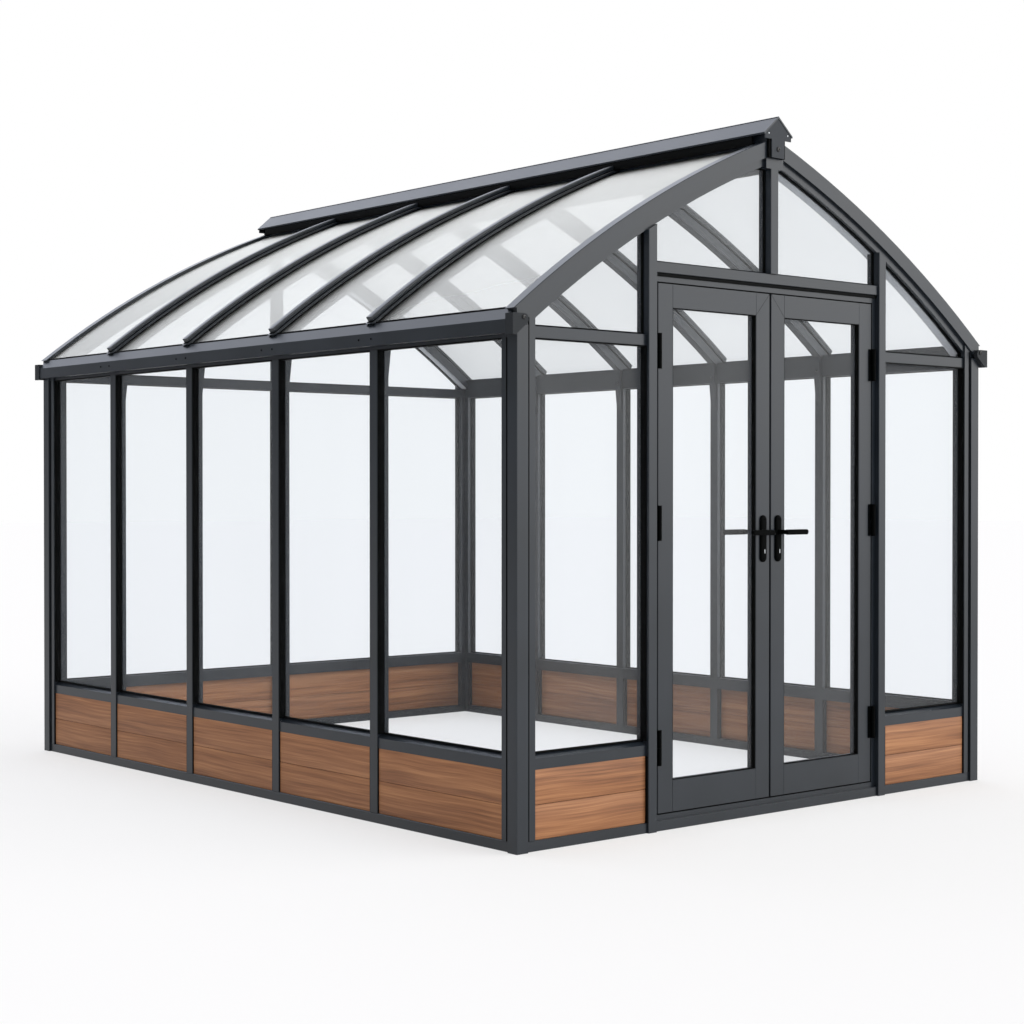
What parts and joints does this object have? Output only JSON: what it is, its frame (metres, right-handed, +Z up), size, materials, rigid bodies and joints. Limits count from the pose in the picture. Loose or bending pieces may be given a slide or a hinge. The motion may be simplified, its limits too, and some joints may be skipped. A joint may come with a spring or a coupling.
{
  "type": "greenhouse",
  "caption": "Metal-framed greenhouse with glass walls over low boarded panels, a bowed glass roof and a pair of hinged glazed doors with lever handles.",
  "frame": {"origin": "centre of the plan, at ground level", "axes": "+Z up, -Y out through the doors, +X to the right of someone facing the doors"},
  "size_m": [2.504, 3.304, 2.501],
  "materials": {
    "frame_grey": "satin",
    "wood_boards": "satin",
    "clear_glass": "gloss",
    "black_metal": "satin"
  },
  "bodies": {
    "frame": {"corner_posts": "frame_grey", "base_rails": "frame_grey", "left_wall_mullions": "frame_grey", "right_wall_mullions": "frame_grey", "back_mullion": "frame_grey", "left_panels": "wood_boards", "right_panels": "wood_boards", "front_panels": "wood_boards", "back_panels": "wood_boards", "left_sill_rails": "frame_grey", "right_sill_rails": "frame_grey", "end_sill_rails": "frame_grey", "wall_top_rails": "frame_grey", "front_gable_rails": "frame_grey", "back_gable_rails": "frame_grey", "left_wall_glass": "clear_glass", "right_wall_glass": "clear_glass", "end_wall_glass": "clear_glass", "front_gable_glass": "clear_glass", "back_gable_glass": "clear_glass", "eave_beams": "frame_grey", "eave_end_caps": "frame_grey", "left_roof_ribs": "frame_grey", "right_roof_ribs": "frame_grey", "front_rafters": "frame_grey", "back_rafters": "frame_grey", "left_roof_glass": "clear_glass", "right_roof_glass": "clear_glass", "ridge_beam": "frame_grey", "ridge_cap": "frame_grey", "ridge_end_plates": "frame_grey", "rib_gussets": "frame_grey", "door_jambs": "frame_grey", "door_header": "frame_grey", "centre_gable_bar": "frame_grey", "door_threshold": "frame_grey", "door_frame_sides": "frame_grey", "door_frame_rails": "frame_grey", "frame_hinges": "black_metal"},
    "left_door": {"left_door_stiles": "frame_grey", "left_door_rails": "frame_grey", "left_door_glass": "clear_glass", "left_door_handle_plates": "black_metal", "left_door_hinges": "black_metal"},
    "left_lever_handle": {"left_lever": "black_metal"},
    "right_door": {"right_door_stiles": "frame_grey", "right_door_rails": "frame_grey", "right_door_glass": "clear_glass", "right_door_handle_plates": "black_metal", "right_door_hinges": "black_metal"},
    "right_lever_handle": {"right_lever": "black_metal"}
  },
  "joints": [
    {"name": "left_door_hinge", "type": "hinge", "parent": "frame", "child": "left_door", "pos_m": [-0.5715, -1.6145, 1.05], "axis": [0, 0, -1], "range_deg": [0, 110]},
    {"name": "left_lever_turn", "type": "hinge", "parent": "left_door", "child": "left_lever_handle", "pos_m": [-0.04, -1.585, 1.012], "axis": [0, -1, 0], "range_deg": [0, 40], "stiffness_Nm_per_rad": 1.8, "springref_deg": -17.19},
    {"name": "right_door_hinge", "type": "hinge", "parent": "frame", "child": "right_door", "pos_m": [0.5715, -1.6145, 1.05], "axis": [0, 0, 1], "range_deg": [0, 110]},
    {"name": "right_lever_turn", "type": "hinge", "parent": "right_door", "child": "right_lever_handle", "pos_m": [0.04, -1.585, 1.012], "axis": [0, 1, 0], "range_deg": [0, 40], "stiffness_Nm_per_rad": 1.8, "springref_deg": -17.19}
  ]
}
